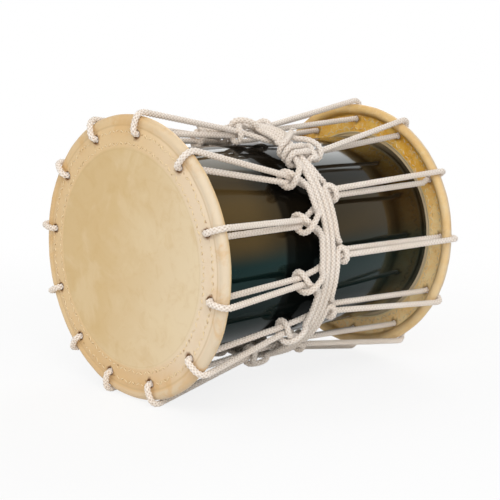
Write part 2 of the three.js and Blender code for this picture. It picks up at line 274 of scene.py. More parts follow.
class Finish:
    """A material whose nodes are added and joined by short calls."""

    def __init__(self, name):
        self.material = bpy.data.materials.new(name)
        self.material.use_nodes = True
        self.tree = self.material.node_tree
        self.shader = self.tree.nodes["Principled BSDF"]

    def set(self, **values):
        for socket, value in values.items():
            self.shader.inputs[socket.replace("_", " ")].default_value = value

    def to_shader(self, socket, value):
        self.tree.links.new(value, self.shader.inputs[socket])

    def add(self, kind, inputs=None, **settings):
        """Adds a node, with each input joined to another node or given a value."""
        node = self.tree.nodes.new(kind)
        for key, value in settings.items():
            setattr(node, key, value)
        for socket, value in (inputs or {}).items():
            if isinstance(value, bpy.types.NodeSocket):
                self.tree.links.new(value, node.inputs[socket])
            else:
                node.inputs[socket].default_value = value
        return node

    def math(self, operation, *values):
        return self.add("ShaderNodeMath", dict(enumerate(values)), operation=operation).outputs[0]

    def times(self, first, second):
        return self.math("MULTIPLY", first, second)

    def plus(self, first, second):
        return self.math("ADD", first, second)

    def noise(self, vector, scale, detail=4.0, roughness=0.55, distortion=0.0):
        node = self.add("ShaderNodeTexNoise", {
            "Vector": vector, "Scale": scale, "Detail": detail,
            "Roughness": roughness, "Distortion": distortion,
        })
        return node.outputs["Fac"]

    def between(self, value, low, high, start=0.0, end=1.0):
        """Eases from start to end as the value goes from low to high."""
        limits = dict(enumerate((value, low, high, start, end)))
        return self.add("ShaderNodeMapRange", limits, interpolation_type="SMOOTHSTEP").outputs[0]

    def stripe(self, value, low, full_from, full_to, high):
        """1 between the two inner limits, easing to 0 at the outer ones."""
        return self.times(self.between(value, low, full_from), self.between(value, high, full_to))

    def blend(self, share, first, second):
        return self.add("ShaderNodeMix", {0: share, 6: first, 7: second}, data_type="RGBA").outputs[2]

    def bump(self, height, strength, distance, below=None):
        inputs = {"Height": height, "Strength": strength, "Distance": distance}
        if below is not None:
            inputs["Normal"] = below
        return self.add("ShaderNodeBump", inputs).outputs["Normal"]

    def mark(self, name):
        """A value that the piece's own mesh carries."""
        return self.add("ShaderNodeAttribute", attribute_name=name).outputs["Fac"]

    def drum_place(self):
        """Object coordinates from the middle of the drum's axis."""
        coordinate = self.add("ShaderNodeTexCoord").outputs["Object"]
        centre = (0, 0, -AXIS_HEIGHT * MM)
        return self.add("ShaderNodeMapping", {"Vector": coordinate, "Location": centre}).outputs[0]

    def parts(self, place):
        """A place's parts across, along and upward from the drum's middle."""
        return self.add("ShaderNodeSeparateXYZ", {"Vector": place}).outputs

    def radius(self, across, upward):
        squares = self.plus(self.times(across, across), self.times(upward, upward))
        return self.math("SQRT", squares)


def colour(red, green, blue):
    """A colour as it is seen on a screen, from 0 to 255, as linear light."""
    def linear(value):
        share = value / 255
        return share / 12.92 if share <= 0.04045 else ((share + 0.055) / 1.055) ** 2.4
    return (linear(red), linear(green), linear(blue), 1)


def black_lacquer():
    """Deep brown-black lacquer, a little uneven over the staves; its colour and the tint of its sheen
    carry a painted reflection, brown above and towards the front and a cold teal towards the floor.
    """
    finish = Finish("black_lacquer")
    place = finish.drum_place()
    across, along, upward = finish.parts(place)
    angle = finish.math("ARCTAN2", across, upward)
    from_top = finish.math("ABSOLUTE", angle)
    low = finish.between(from_top, 1.36, 1.62)
    high = finish.between(from_top, 1.05, 0.75)
    # The band keeps the light off the lacquer beside it
    shaded = finish.stripe(along, -0.07, -0.06, 0, 0.03)
    lengthways = finish.add("ShaderNodeCombineXYZ", {"X": angle, "Y": finish.times(along, 2.2)})
    streak = finish.between(finish.noise(lengthways.outputs[0], 2.6, 1), 0.25, 0.75)
    # Painted reflection: brown on the upper body, a lighter brown towards the front, cold teal towards the
    # floor
    brown = finish.blend(streak, colour(16, 13, 9), colour(40, 31, 17))
    brown = finish.blend(finish.between(along, -0.06, -0.12, 0, 0.8), brown, colour(80, 63, 35))
    cold = finish.blend(streak, colour(6, 13, 12), colour(12, 28, 27))
    tone = finish.blend(low, brown, cold)
    finish.to_shader("Base Color", finish.blend(finish.times(shaded, 0.75), tone, colour(9, 9, 8)))
    smear = finish.noise(place, 22, 5, 0.6)
    finish.to_shader("Roughness", finish.between(smear, 0.3, 0.75, 0.05, 0.13))
    staves = finish.math("SINE", finish.times(angle, STAVES))
    ripple = finish.plus(finish.times(staves, 0.35), finish.noise(place, 11, 2))
    finish.to_shader("Normal", finish.bump(ripple, 0.25, 0.0016))
    # Painted reflection: the sheen is tinted brown on the sides, teal towards the floor and teal on top
    sheen = finish.blend(low, (1, 0.74, 0.32, 1), (0.22, 0.6, 0.58, 1))
    finish.to_shader("Specular Tint", finish.blend(high, sheen, (0.3, 0.5, 0.5, 1)))
    # Little light comes up from under the drum
    mirror = finish.between(from_top, 1.7, 2.1, 0.45, 0.1)
    mirror = finish.times(mirror, finish.between(high, 0, 1, 1, 0.6))
    mirror = finish.times(mirror, finish.between(shaded, 0, 1, 1, 0.14))
    finish.to_shader("Specular IOR Level", mirror)
    finish.set(IOR=1.45)
    return finish.material


def pale_skin(finish, place, across, upward, radius, lap, mottle):
    """The face and the lap round it: pale hide, browned with oil towards the hem, with painted light and
    shade.
    """
    cloud = finish.noise(place, 5, 4, 0.6, 0.6)
    # Painted light: the skin and its lap are paler on the side where the light falls and yellower on the
    # other, on each head
    side = finish.math("SUBTRACT", across, finish.times(upward, 0.4))
    lit_side = finish.between(finish.plus(side, finish.times(cloud, 0.12)), 0.0, 0.21)
    skin = finish.blend(lit_side, colour(206, 177, 127), colour(220, 200, 165))
    skin = finish.blend(finish.between(mottle, 0.45, 0.75, 0, 0.4), skin, colour(198, 164, 112))
    patches = finish.noise(place, 15, 4, 0.6, 0.5)
    skin = finish.blend(finish.between(patches, 0.48, 0.66, 0, 0.35), skin, colour(222, 202, 164))
    lapped = finish.blend(lit_side, colour(216, 185, 138), colour(222, 202, 174))
    # Painted shade: the lap is darker and browner towards the bottom of the head
    lapped = finish.blend(finish.between(upward, -0.09, -0.16, 0, 0.6), lapped, colour(205, 164, 104))
    skin = finish.blend(lap, skin, lapped)
    # Painted shade: a faint dark line where the hide bends over the body's edge
    edge = finish.stripe(radius, 0.1318, 0.1332, 0.1332, 0.1346)
    skin = finish.blend(finish.times(edge, 0.16), skin, colour(186, 154, 104))
    # Painted shade in the valley between the lap and the hem's roll
    hem_line = finish.stripe(radius, 0.16, 0.1618, 0.1622, 0.164)
    skin = finish.blend(finish.times(hem_line, 0.4), skin, colour(184, 156, 112))
    # Painted highlight: the hem's roll is paler on the side where the light falls
    roll = finish.times(finish.between(radius, 0.1632, 0.1668), finish.between(lit_side, 0, 1, 0.1, 0.6))
    skin = finish.blend(roll, skin, colour(212, 195, 168))
    worn = finish.noise(place, 17, 5, 0.65, 0.9)
    browned = finish.times(finish.between(worn, 0.47, 0.62), finish.between(radius, 0.137, 0.166))
    return finish.blend(finish.times(browned, 0.45), skin, colour(206, 160, 94))


def amber_flap(finish, place, upward, radius, creases):
    """The turned-back flap: thin, oily and amber, creased where it was drawn in, with a painted glow and
    painted shade.
    """
    oily = finish.noise(place, 26, 6, 0.65, 1.2)
    # Painted glow: the flap's own amber is painted brighter, as if lit through the thin hide, and deepest
    # amber towards the top
    top = finish.between(upward, -0.02, 0.12)
    deep = finish.blend(top, colour(250, 206, 134), colour(234, 172, 54))
    light = finish.blend(top, colour(254, 228, 172), colour(244, 198, 94))
    resin = finish.blend(finish.between(oily, 0.35, 0.68), deep, light)
    # Paler on the ridges of the creases, and painted shade in their hollows
    resin = finish.blend(finish.between(creases, 0.54, 0.7, 0, 0.75), resin, colour(244, 226, 182))
    resin = finish.blend(finish.between(creases, 0.44, 0.3, 0, 0.45), resin, colour(168, 112, 40))
    flecks = finish.noise(place, 330, 3, 0.6)
    resin = finish.blend(finish.between(flecks, 0.56, 0.7, 0, 0.6), resin, colour(252, 236, 196))
    hem_edge = finish.between(radius, 0.1362, 0.1346, 0, 0.8)
    resin = finish.blend(hem_edge, resin, colour(244, 230, 190))
    # Painted shade in the fold between the flap and the hem's roll
    fold = finish.stripe(radius, 0.158, 0.1605, 0.161, 0.1635)
    resin = finish.blend(finish.times(fold, 0.55), resin, colour(150, 100, 44))
    return finish.blend(finish.between(radius, 0.162, 0.165, 0, 0.6), resin, colour(218, 182, 122))


def sewn_pricks(finish, place, radius, angle, amber):
    """Brown dots at the pricked holes of the two sewn rows, set by hand and fainter on the flap: dirt in
    the holes and painted shade.
    """
    by_hand = finish.noise(place, 150, 2)
    stray = finish.times(finish.math("SUBTRACT", by_hand, 0.5), 0.007)
    rows = []
    for row, count in STITCH_ROWS:
        away = finish.plus(finish.math("SUBTRACT", radius, row * MM), stray)
        away = finish.math("ABSOLUTE", away)
        pace = finish.plus(finish.times(angle, count / 2), finish.times(by_hand, 3))
        wave = finish.math("ABSOLUTE", finish.math("SINE", pace))
        rows.append(finish.times(finish.between(away, 0.0016, 0.0005), finish.between(wave, 0.6, 0.95)))
    pricks = finish.math("MAXIMUM", *rows)
    pricks = finish.times(pricks, finish.between(amber, 0, 1, 0.7, 0.12))
    return finish.times(pricks, finish.between(finish.noise(place, 90, 3), 0.38, 0.58, 0.15, 1))


def stretched_rawhide():
    """Hide that is pale on the face and amber on the flap, pricked where it is sewn."""
    finish = Finish("stretched_rawhide")
    place = finish.drum_place()
    across, along, upward = finish.parts(place)
    radius = finish.radius(across, upward)
    angle = finish.math("ARCTAN2", across, upward)
    lap = finish.between(radius, 0.1335, 0.1375)
    mottle = finish.noise(place, 46, 6, 0.65, 0.8)
    turns = finish.add("ShaderNodeCombineXYZ", {"X": angle, "Y": finish.times(radius, 9), "Z": along})
    creases = finish.noise(turns.outputs[0], 16, 5, 0.7, 0.4)
    amber = finish.mark("amber")
    skin = pale_skin(finish, place, across, upward, radius, lap, mottle)
    skin = finish.blend(amber, skin, amber_flap(finish, place, upward, radius, creases))
    # Brown at the pricked holes: dirt and painted shade
    skin = finish.blend(sewn_pricks(finish, place, radius, angle, amber), skin, colour(156, 114, 62))
    # Brown where each rope hole was cut and handled
    skin = finish.blend(finish.times(finish.mark("hole_stain"), 0.8), skin, colour(116, 72, 28))
    finish.to_shader("Base Color", skin)
    finish.to_shader("Roughness", finish.between(mottle, 0.3, 0.7, 0.42, 0.6))
    grain = finish.bump(finish.noise(place, 420, 4, 0.6), 0.12, 0.0006)
    finish.to_shader("Normal", finish.bump(finish.times(creases, lap), 0.3, 0.0014, grain))
    finish.set(Specular_IOR_Level=0.4)
    return finish.material


def plaited_cotton():
    """Undyed cotton, with painted shade down between the strands."""
    finish = Finish("plaited_cotton")
    place = finish.drum_place()
    soil = finish.noise(place, 14, 5, 0.6)
    yarn = finish.noise(place, 900, 3, 0.7)
    tone = finish.blend(finish.between(soil, 0.32, 0.7), colour(248, 240, 231), colour(240, 229, 216))
    tone = finish.blend(finish.between(yarn, 0.42, 0.75, 0, 0.2), tone, colour(230, 216, 198))
    # Painted shade down between the strands
    sunk = finish.times(finish.mark("sunk"), 0.95)
    finish.to_shader("Base Color", finish.blend(sunk, tone, colour(172, 148, 124)))
    finish.to_shader("Normal", finish.bump(yarn, 0.35, 0.0005))
    finish.set(Roughness=0.88, Sheen_Weight=0.25, Sheen_Roughness=0.5, Specular_IOR_Level=0.2)
    return finish.material


def waxed_thread():
    """Pale sewing thread with a fine twist."""
    finish = Finish("waxed_thread")
    twist = finish.noise(finish.drum_place(), 1400, 2)
    finish.to_shader("Base Color", finish.blend(twist, colour(214, 186, 138), colour(240, 222, 184)))
    finish.to_shader("Normal", finish.bump(twist, 0.4, 0.0003))
    finish.set(Roughness=0.6)
    return finish.material


def forged_iron():
    """Dull rod, a little brown with scale."""
    finish = Finish("forged_iron")
    scale = finish.noise(finish.drum_place(), 160, 6, 0.7)
    finish.to_shader("Base Color", finish.blend(scale, colour(70, 68, 66), colour(104, 92, 80)))
    finish.to_shader("Roughness", finish.between(scale, 0.3, 0.7, 0.45, 0.75))
    finish.set(Metallic=1.0)
    return finish.material


LACQUER = black_lacquer()
RAWHIDE = stretched_rawhide()
COTTON = plaited_cotton()
THREAD = waxed_thread()
IRON = forged_iron()


# Body

def lacquered_body():
    """The glued staves as one hollow, lacquered shell with rounded edges."""
    drop_selection()
    bpy.ops.mesh.primitive_cylinder_add(
        vertices=BODY_SIDES, radius=BODY_RADIUS * MM, depth=BODY_LENGTH * MM, end_fill_type="NOTHING",
        location=(0, 0, AXIS_HEIGHT * MM), rotation=(math.pi / 2, 0, 0),
    )
    body = bpy.context.object
    settle(body)
    wall = body.modifiers.new("wall", "SOLIDIFY")
    wall.thickness = BODY_WALL * MM
    wall.offset = -1
    rounded = body.modifiers.new("rounded_ends", "BEVEL")
    rounded.width = BODY_EDGE * MM
    rounded.segments = 3
    rounded.limit_method = "ANGLE"
    for modifier in ("wall", "rounded_ends"):
        bpy.ops.object.modifier_apply(modifier=modifier)
    bpy.ops.object.shade_smooth_by_angle(angle=math.radians(BODY_SMOOTH))
    staves = [f"body_stave_{i:02d}" for i in range(1, STAVES + 1)]
    finish_piece(body, "lacquered_body", LACQUER, "lacquered_wood", *staves)


# Heads

def lean(radius):
    """Height of the membrane's outer face, which leans back from the body's edge to the ring."""
    share = max(radius - BEARING_EDGE, 0) / (RING_RADIUS - BEARING_EDGE)
    return HEAD_FACE - RIM_SETBACK * share


def hem_dip(radius):
    """Depth of the soft valley between the lap and the roll of the hem."""
    return VALLEY_DEPTH * math.exp(-((radius - VALLEY_RADIUS) / VALLEY_WIDTH) ** 2)


def hide_rings():
    """Radius and height of each ring of the hide, from the face's middle round the hem and back inside."""
    rings = [(radius, HEAD_FACE) for radius in (14, 42, 70, 95, 115, 126)]
    for radius in (131, 133.5, 136.5, 140, 144, 148, 152, 156, 158.5, 160.5, 162.5, 164.5):
        rings.append((radius, lean(radius) - hem_dip(radius)))
    # Round the ring
    for degrees in range(97, -151, -13):
        angle = math.radians(degrees)
        radius = RING_RADIUS + RIM_RADIUS * math.cos(angle)
        rings.append((radius, RING_PLANE + RIM_RADIUS * math.sin(angle)))
    # In along the back of the flap and round its edge
    rings += [(160.9, 201.2), (159.7, 203.6), (158.6, 205.0), (156.8, 205.5)]
    rings += [(radius, lean(radius) - FLAP_BACK) for radius in (152, 148, 144, 140, 137.2, 135)]
    rings += [(FLAP_EDGE + 0.5, 207.0), (FLAP_EDGE, 207.5), (FLAP_EDGE + 0.5, 207.95)]
    # Between the flap and the membrane, and in behind the face
    rings += [(radius, lean(radius) - HIDE - FLAP_GAP) for radius in (140, 149)]
    rings += [(radius, lean(radius) - HIDE) for radius in (149, 140)]
    rings += [(radius, HEAD_FACE - HIDE) for radius in (133, 128, 90, 45, 10)]
    return rings


def turned(rings, sides):
    """A round piece drawn out ring by ring from a disc's edge, closed at both poles."""
    drop_selection()
    (radius, height), *rest = [(r * MM, h * MM) for r, h in rings]
    bpy.ops.mesh.primitive_circle_add(
        vertices=sides, radius=radius, fill_type="TRIFAN", location=(0, 0, height),
    )
    piece = bpy.context.object
    settle(piece)
    bpy.ops.object.mode_set(mode="EDIT")
    bpy.ops.mesh.select_mode(type="EDGE")
    bpy.ops.mesh.select_all(action="DESELECT")
    bpy.ops.mesh.select_non_manifold()
    for next_radius, next_height in rest:
        bpy.ops.mesh.extrude_edges_move(TRANSFORM_OT_translate={"value": (0, 0, next_height - height)})
        scale = next_radius / radius
        bpy.ops.transform.resize(value=(scale, scale, 1), center_override=(0, 0, next_height))
        radius, height = next_radius, next_height
    bpy.ops.mesh.merge(type="CENTER")
    bpy.ops.mesh.select_all(action="SELECT")
    bpy.ops.mesh.normals_make_consistent(inside=False)
    bpy.ops.object.mode_set(mode="OBJECT")
    return piece


def stand_up(piece, side):
    """Turns a piece made about Z so that its outer face looks along Y, and lifts it to the drum's axis."""
    piece.rotation_euler = (-side * math.pi / 2, 0, 0)
    piece.location = (0, 0, AXIS_HEIGHT * MM)
    settle(piece)


def uneven_lap(hide):
    """Hand-lapped hide isn't regular: the hem and the flap swell and dip a little."""
    lap = hide.vertex_groups.new(name="lap")
    for vertex in hide.data.vertices:
        radius = math.hypot(vertex.co.x, vertex.co.z - AXIS_HEIGHT * MM) / MM
        lap.add([vertex.index], min(max((radius - SWELL_FROM) / SWELL_OVER, 0), 1), "REPLACE")
    swelling = bpy.data.textures.new("hem_swelling", "CLOUDS")
    swelling.noise_scale = HEM_SWELL_SPAN * MM
    swelling.noise_depth = 2
    pick(hide)
    uneven = hide.modifiers.new("uneven", "DISPLACE")
    uneven.texture = swelling
    uneven.texture_coords = "LOCAL"
    uneven.strength = HEM_SWELL * MM
    uneven.mid_level = 0.5
    uneven.vertex_group = "lap"
    bpy.ops.object.modifier_apply(modifier="uneven")


def cut_round_holes(hide, side, holes, circle, radius, depth):
    """Cuts a ring of round holes from the head's face to a depth."""
    drop_selection()
    cutters = []
    middle = lean(circle) - depth + CUTTER_LENGTH / 2
    for degrees in holes:
        bpy.ops.mesh.primitive_cylinder_add(
            vertices=HOLE_SIDES, radius=radius * MM, depth=CUTTER_LENGTH * MM,
            location=around(circle, degrees, side * middle), rotation=(math.pi / 2, 0, 0),
        )
        cutters.append(bpy.context.object)
    punch = join_up(cutters)
    settle(punch)
    pick(hide)
    holed = hide.modifiers.new("rope_holes", "BOOLEAN")
    holed.operation = "DIFFERENCE"
    holed.solver = "EXACT"
    holed.object = punch
    bpy.ops.object.modifier_apply(modifier="rope_holes")
    pick(punch)
    bpy.ops.object.delete()


def mark_hide(hide, side, holes):
    """Marks the amber back of the lap and the stained hole edges for the rawhide's colours."""
    count = len(hide.data.vertices)
    places = np.empty(count * 3)
    hide.data.vertices.foreach_get("co", places)
    places = places.reshape(-1, 3) / MM
    radius = np.hypot(places[:, 0], places[:, 2] - AXIS_HEIGHT)
    height = places[:, 1] * side
    behind = np.clip((FLAP_HEIGHT - height) / AMBER_FADE, 0, 1)
    on_lap = np.clip((radius - (FLAP_EDGE - AMBER_INWARDS)) / AMBER_FADE, 0, 1)
    hem = HEM_AMBER * np.clip((RING_PLANE + HEM_AMBER_FROM - height) / HEM_AMBER_FADE, 0, 1)
    amber = np.where(radius < RING_RADIUS - RIM_RADIUS, behind * on_lap, hem)
    nearest = np.full(count, np.inf)
    for degrees in holes:
        centre = around(WORN_CIRCLE, degrees, 0) / MM
        nearest = np.minimum(nearest, np.hypot(places[:, 0] - centre.x, places[:, 2] - centre.z))
    stain = np.clip(1 - (nearest - WORN_RADIUS) / STAIN_FADE, 0, 1)
    for name, values in (("amber", amber), ("hole_stain", stain)):
        attribute = hide.data.attributes.new(name, "FLOAT", "POINT")
        attribute.data.foreach_set("value", values.astype(np.float32))


def rawhide_head(end, side, holes):
    """One lapped hide with its rope holes; the side is -1 at the front and 1 at the rear."""
    hide = turned(hide_rings(), HEAD_SIDES)
    stand_up(hide, side)
    uneven_lap(hide)
    cut_round_holes(hide, side, holes, HOLE_CIRCLE, HOLE_RADIUS, HOLE_DEPTH)
    cut_round_holes(hide, side, holes, WORN_CIRCLE, WORN_RADIUS, WORN_DEPTH)
    hide.vertex_groups.clear()
    mark_hide(hide, side, holes)
    pick(hide)
    bpy.ops.object.shade_smooth_by_angle(angle=math.radians(HEAD_SMOOTH))
    finish_piece(hide, f"{end}_lapped_hide", RAWHIDE, "rawhide", f"{end}_head_hide")


# Stitching

def stitch_row(radius, count, height):
    """One row of short slanted stitches round the axis Z, each a plump thread sunk at both ends."""
    drop_selection()
    length = 2 * math.pi * radius / count
    pair = []
    for i, slant in enumerate((STITCH_SLANT, -STITCH_SLANT)):
        turn = -2 * math.pi * i / count
        bpy.ops.mesh.primitive_uv_sphere_add(segments=6, ring_count=4, radius=1, location=(0, 0, 0))
        stitch = bpy.context.object
        stitch.scale = (STITCH_REACH * length * MM, STITCH_HALF_WIDTH * MM, STITCH_HALF_HEIGHT * MM)
        stitch.rotation_euler = (0, 0, turn + math.radians(slant))
        stitch.location = (-radius * math.sin(turn) * MM, radius * math.cos(turn) * MM, height * MM)
        settle(stitch)
        pair.append(stitch)
    row = join_up(pair)
    bpy.ops.object.shade_smooth()
    bpy.ops.object.empty_add(location=(0, 0, 0), rotation=(0, 0, 4 * math.pi / count))
    turn = bpy.context.object
    pick(row)
    round_row = row.modifiers.new("round_row", "ARRAY")
    round_row.use_relative_offset = False
    round_row.use_object_offset = True
    round_row.offset_object = turn
    round_row.count = count // 2
    bpy.ops.object.modifier_apply(modifier="round_row")
    for direction, span in STITCH_STRAY_SPANS:
        stray = bpy.data.textures.new("hand_sewn", "CLOUDS")
        stray.noise_scale = span * MM
        by_hand = row.modifiers.new("by_hand", "DISPLACE")
        by_hand.texture = stray
        by_hand.texture_coords = "LOCAL"
        by_hand.direction = direction
        by_hand.strength = STITCH_STRAY * MM
        bpy.ops.object.modifier_apply(modifier="by_hand")
    pick(turn)
    bpy.ops.object.delete()
    return row


def clear_of_holes(row, holes):
    """Takes out the stitches that would lie in a rope hole or under the rope beside it."""
    pick(row)
    bpy.ops.object.mode_set(mode="EDIT")
    bpy.ops.mesh.select_mode(type="VERT")
    bpy.ops.mesh.select_all(action="DESELECT")
    bpy.ops.object.mode_set(mode="OBJECT")
    centres = [around(HOLE_CIRCLE, degrees, 0) for degrees in holes]
    for vertex in row.data.vertices:
        near = min(math.hypot(vertex.co.x - c.x, vertex.co.z - c.z) for c in centres)
        vertex.select = near < STITCH_CLEARANCE * MM
    bpy.ops.object.mode_set(mode="EDIT")
    bpy.ops.mesh.select_linked()
    bpy.ops.mesh.delete(type="VERT")
    bpy.ops.object.mode_set(mode="OBJECT")


def head_stitching(name, side, holes):
    """The sewn rows of one head, on its face and on the back of its flap."""
    rows = []
    for radius, count in STITCH_ROWS:
        for height in (lean(radius) + STITCH_PROUD, lean(radius) - FLAP_BACK - STITCH_PROUD):
            row = stitch_row(radius, count, height)
            stand_up(row, side)
            clear_of_holes(row, holes)
            rows.append(row)
    finish_piece(join_up(rows), name, THREAD, "cotton_rope")


# Ropes

def eased(stations):
    """Even steps along a smooth curve through the stations, and how far along it each station lies."""
    knots, marks = [stations[0]], [0]
    for start, end in zip(stations, stations[1:]):
        span = (end - start).length
        if span > LONG_SPAN * MM:
            knots.append(start.lerp(end, STRAIGHT_ENDS * MM / span))
            knots.append(end.lerp(start, STRAIGHT_ENDS * MM / span))
        knots.append(end)
        marks.append(len(knots) - 1)
    points = np.array([tuple(knot) for knot in knots])
    points = np.vstack([2 * points[0] - points[1], points, 2 * points[-1] - points[-2]])
    run, reached = [points[1]], [0]
    for i in range(1, len(points) - 2):
        p0, p1, p2, p3 = points[i - 1:i + 3]
        t1 = np.linalg.norm(p1 - p0) ** 0.5
        t2 = t1 + np.linalg.norm(p2 - p1) ** 0.5
        t3 = t2 + np.linalg.norm(p3 - p2) ** 0.5
        for share in np.linspace(0, 1, CURVE_SAMPLES + 1)[1:]:
            t = t1 + share * (t2 - t1)
            a1 = (t1 - t) / t1 * p0 + t / t1 * p1
            a2 = (t2 - t) / (t2 - t1) * p1 + (t - t1) / (t2 - t1) * p2
            a3 = (t3 - t) / (t3 - t2) * p2 + (t - t2) / (t3 - t2) * p3
            b1 = (t2 - t) / t2 * a1 + t / t2 * a2
            b2 = (t3 - t) / (t3 - t1) * a2 + (t - t1) / (t3 - t1) * a3
            run.append((t2 - t) / (t2 - t1) * b1 + (t - t1) / (t2 - t1) * b2)
        reached.append(len(run) - 1)
    run = np.array(run)
    travelled = np.concatenate([[0], np.cumsum(np.linalg.norm(np.diff(run, axis=0), axis=1))])
    even = np.arange(0, travelled[-1], PLAIT_STEP * MM)
    path = np.column_stack([np.interp(even, travelled, run[:, axis]) for axis in range(3)])
    return path, [travelled[reached[mark]] for mark in marks]


def carried_frames(path):
    """Two directions across the rope at each step, carried along without twist."""
    tangents = np.gradient(path, axis=0)
    tangents /= np.linalg.norm(tangents, axis=1)[:, None]
    across = np.empty_like(path)
    guess = np.array([0.31, 0.52, 0.79])
    for i, tangent in enumerate(tangents):
        guess = guess - guess.dot(tangent) * tangent
        guess = guess / np.linalg.norm(guess)
        across[i] = guess
    return across, np.cross(tangents, across)


def mark_crevice_shade(rope, path):
    """Marks how deep each place lies between the strands, for the painted shade in the cotton's colour."""
    middle = KDTree(len(path))
    for i, place in enumerate(path):
        middle.insert(place, i)
    middle.balance()
    out = np.array([middle.find(vertex.co)[2] for vertex in rope.data.vertices]) / MM
    outermost = STRAND_MIDDLE + STRAND_WEAVE + STRAND_RADIUS
    sunk = np.clip((outermost - CREVICE_SHADE_FROM - out) / CREVICE_SHADE_FADE, 0, 1)
    marks = rope.data.attributes.new("sunk", "FLOAT", "POINT")
    marks.data.foreach_set("value", sunk.astype(np.float32))


def plait(name, path, across, upward, first, node, frayed=0):
    """A cord of strands plaited over and under, four each way round, with its last steps frayed."""
    cord = bpy.data.curves.new(name, "CURVE")
    cord.dimensions = "3D"
    cord.bevel_depth = STRAND_RADIUS * MM
    cord.bevel_resolution = 1
    cord.use_fill_caps = True
    steps = np.arange(len(path))
    along = (steps + first) / PLAIT_STEPS
    loose = np.clip((frayed - (len(path) - 1 - steps)) / max(frayed, 1), 0, 1)
    for hand in (1, -1):
        depth = STRAND_MIDDLE + hand * STRAND_WEAVE * np.cos(math.pi * (2 * PLAIT_STRANDS * along - 0.5))
        spread = (depth * (1 + FRAYED_SPREAD * loose ** 2) * MM)[:, None]
        for strand in range(PLAIT_STRANDS):
            place = strand if hand > 0 else strand + 0.5
            turn = (hand * 2 * math.pi * along + place * 2 * math.pi / PLAIT_STRANDS)[:, None]
            strand_path = path + spread * np.cos(turn) * across + spread * np.sin(turn) * upward
            # Frayed strands end at different lengths
            end = len(path) - frayed * (strand * 3 + (hand > 0)) % 7
            spline = cord.splines.new("POLY")
            spline.points.add(end - 1)
            spline.points.foreach_set("co", np.column_stack([strand_path[:end], np.ones(end)]).ravel())
            spline.points.foreach_set("radius", 1 - FRAYED_THINNING * loose[:end])
    rope = bpy.data.objects.new(name, cord)
    bpy.context.collection.objects.link(rope)
    pick(rope)
    bpy.ops.object.convert(target="MESH")
    rope = bpy.context.object
    bpy.ops.object.shade_smooth()
    mark_crevice_shade(rope, path)
    finish_piece(rope, name, COTTON, "cotton_rope", node)


# Lacing

def band_along(travel):
    """Where the band lies along the axis, after so many degrees of its turns."""
    return BAND_START + BAND_PITCH * travel / 360


def travel_to(degrees):
    """Degrees along the band's first turn to an angle from the top."""
    return (degrees - BAND_START_ANGLE) % 360


def front_angle(pair):
    """Degrees from the top to a front pair's hitch."""
    return FRONT_HOLES[pair] + FRONT_HITCH_SHIFTS[pair]


def front_reach(pair):
    """How far in front of the band a front pair's hitch lies."""
    return FRONT_HITCH_REACH * FRONT_HITCH_SHARES[pair]


def front_gather(pair):
    """Where a front pair is drawn together by its hitch."""
    return band_along(travel_to(front_angle(pair))) - front_reach(pair)


def rear_angle(pair):
    """Degrees from the top to a rear pair's hitch."""
    return COLLAR_PAIR_ANGLE if pair == COLLAR_PAIR else REAR_STEP * pair


def rear_gather(pair):
    """Where a rear pair is drawn together by its hitch."""
    reach = COLLAR_PAIR_REACH if pair == COLLAR_PAIR else REAR_HITCH_REACH
    return band_along(LAST_TURN + travel_to(rear_angle(pair))) + reach


def leg_stations(front, rear):
    """One lacing leg under the band, from its front hitch to its rear hitch."""
    towards = 1 if rear > front else -1
    front_side = -towards if front in CROSSED_FRONT_PAIRS else towards
    rear_side = -towards if rear in CROSSED_REAR_PAIRS else towards
    start_angle = front_angle(front) + front_side * PAIR_SPREAD
    end_angle = rear_angle(rear) - rear_side * PAIR_SPREAD
    start, end = front_gather(front), rear_gather(rear)
    collar_leg = rear == COLLAR_PAIR and towards < 0
    layer = LOWER_LAYER if collar_leg else UPPER_LAYER
    # Shares of the way along the leg and of its swing round the body, and the radius there
    front_edge = (0.4, 0.3, layer)
    rear_edge = (0.78, 0.82, layer) if collar_leg else (0.88, 0.95, layer)
    if front in CROSSED_FRONT_PAIRS and towards < 0:
        front_edge = (0.25, 0.2, FRONT_CROSSING_LAYER)
    if rear in CROSSED_REAR_PAIRS:
        rear_edge = (0.78, 1, REAR_CROSSING_LAYER) if towards > 0 else (0.88, 1, layer)
    stations = (
        (0, 0, PAIR_RADIUS + towards * PAIR_OFFSET), front_edge, (0.62, 0.6, layer),
        rear_edge, (1, 1, PAIR_RADIUS - towards * PAIR_OFFSET),
    )
    return [
        around(radius, start_angle + (end_angle - start_angle) * swing, start + (end - start) * share)
        for share, swing, radius in stations
    ]


def half_leg(front, rear, at_front):
    """A leg from its middle, under the band, to its front hitch, or to its rear one."""
    stations = leg_stations(front, rear)
    return stations[2::-1] if at_front else stations[2:]


